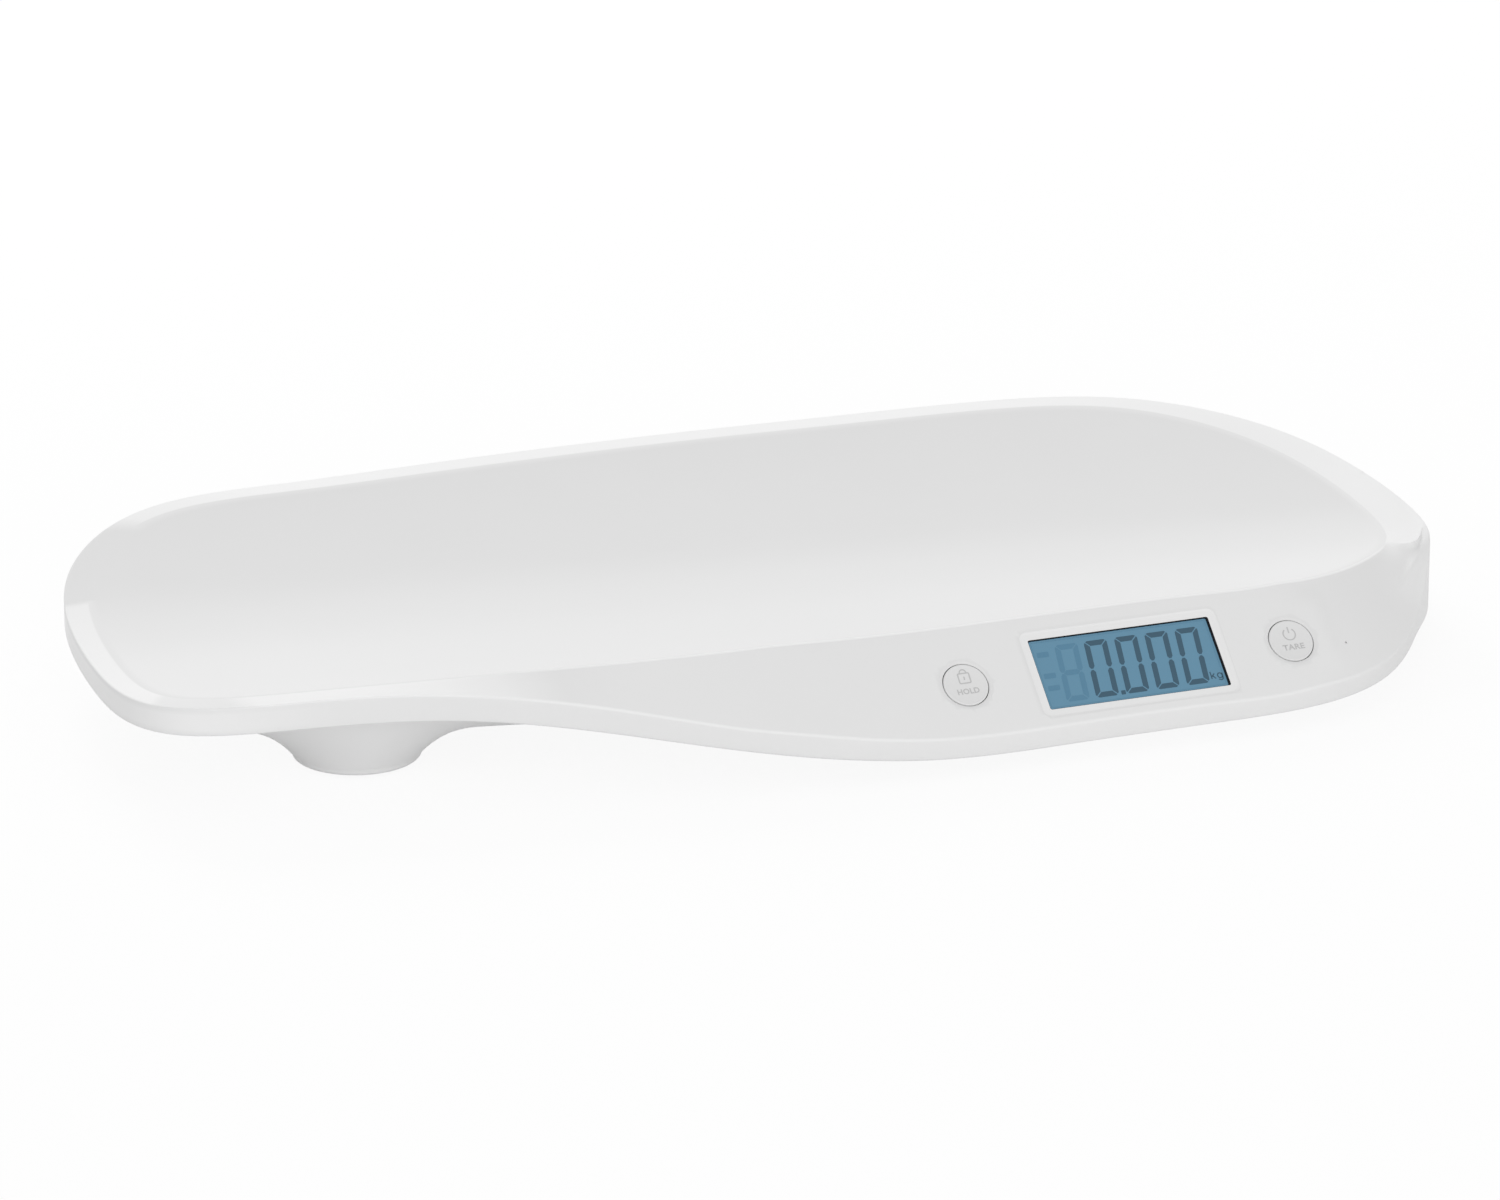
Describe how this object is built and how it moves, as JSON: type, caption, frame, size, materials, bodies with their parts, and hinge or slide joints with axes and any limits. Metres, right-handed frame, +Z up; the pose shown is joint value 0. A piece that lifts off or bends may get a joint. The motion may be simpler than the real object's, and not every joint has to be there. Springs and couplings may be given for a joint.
{
  "type": "baby weighing scale",
  "caption": "Low digital baby scale: a shallow dished tray with raised sides, a sloping control panel with display and buttons, and flared feet.",
  "frame": {"origin": "on the table, under the middle of the outline", "axes": "+X along the tray towards the end that the display is nearest, -Y to the front where the control panel slopes down, +Z up"},
  "size_m": [0.5494, 0.2832, 0.0514],
  "materials": {
    "shell": "smooth satin gloss",
    "casing": "fine satin",
    "lens": "clear gloss",
    "lcd": "smooth blue-grey",
    "diffuser": "frosted",
    "plastic": "moulded satin",
    "black_plastic": "moulded satin",
    "board": "solder mask",
    "steel": "plated",
    "cell_steel": "stamped spring steel",
    "gauge": "film",
    "rubber": "soft matte",
    "battery": "printed wrap",
    "lead": "insulated wire"
  },
  "bodies": {
    "case": {"display_window": "lens", "lcd_glass": "lcd", "backlight": "diffuser", "lcd_carrier": "plastic", "zebra_strip_lower": "black_plastic", "zebra_strip_upper": "black_plastic", "main_board": "board", "controller_chip": "black_plastic", "board_screw_1": "steel", "board_screw_2": "steel", "board_screw_3": "steel", "board_screw_4": "steel", "hold_switch": "black_plastic", "tare_switch": "black_plastic", "upper_shell": "shell", "lower_shell": "casing", "load_cell_front_left": "cell_steel", "strain_gauge_front_left": "gauge", "foot_cap_front_left": "plastic", "rubber_pad_front_left": "rubber", "load_cell_front_right": "cell_steel", "strain_gauge_front_right": "gauge", "foot_cap_front_right": "plastic", "rubber_pad_front_right": "rubber", "load_cell_back_left": "cell_steel", "strain_gauge_back_left": "gauge", "foot_cap_back_left": "plastic", "rubber_pad_back_left": "rubber", "load_cell_back_right": "cell_steel", "strain_gauge_back_right": "gauge", "foot_cap_back_right": "plastic", "rubber_pad_back_right": "rubber", "case_screw_1": "steel", "case_screw_2": "steel", "case_screw_3": "steel", "case_screw_4": "steel", "case_screw_5": "steel", "case_screw_6": "steel", "contact_strip_left": "steel", "contact_strip_right": "steel", "battery_1": "battery", "contact_spring_1": "steel", "battery_2": "battery", "contact_spring_2": "steel", "battery_3": "battery", "contact_spring_3": "steel", "cell_lead_front_left": "lead", "cell_lead_back_left": "lead", "cell_lead_front_right": "lead", "cell_lead_back_right": "lead", "battery_lead_1": "lead", "battery_lead_2": "lead"},
    "hold_button": {"hold_button": "shell", "hold_plunger": "black_plastic"},
    "tare_button": {"tare_button": "shell", "tare_plunger": "black_plastic"},
    "battery_door": {"battery_door": "casing"}
  },
  "joints": [
    {"name": "hold_press", "type": "slide", "parent": "case", "child": "hold_button", "axis": [-0.0238, 0.6571, -0.7534], "range_m": [0, 0.0008], "stiffness_N_per_m": 600, "springref_m": -0.001},
    {"name": "tare_press", "type": "slide", "parent": "case", "child": "tare_button", "axis": [-0.0238, 0.6571, -0.7534], "range_m": [0, 0.0008], "stiffness_N_per_m": 600, "springref_m": -0.001},
    {"name": "battery_door_hinge", "type": "hinge", "parent": "case", "child": "battery_door", "pos_m": [0.0304, 0.008, 0.0156], "axis": [0, 1, 0], "range_deg": [0, 75]}
  ]
}
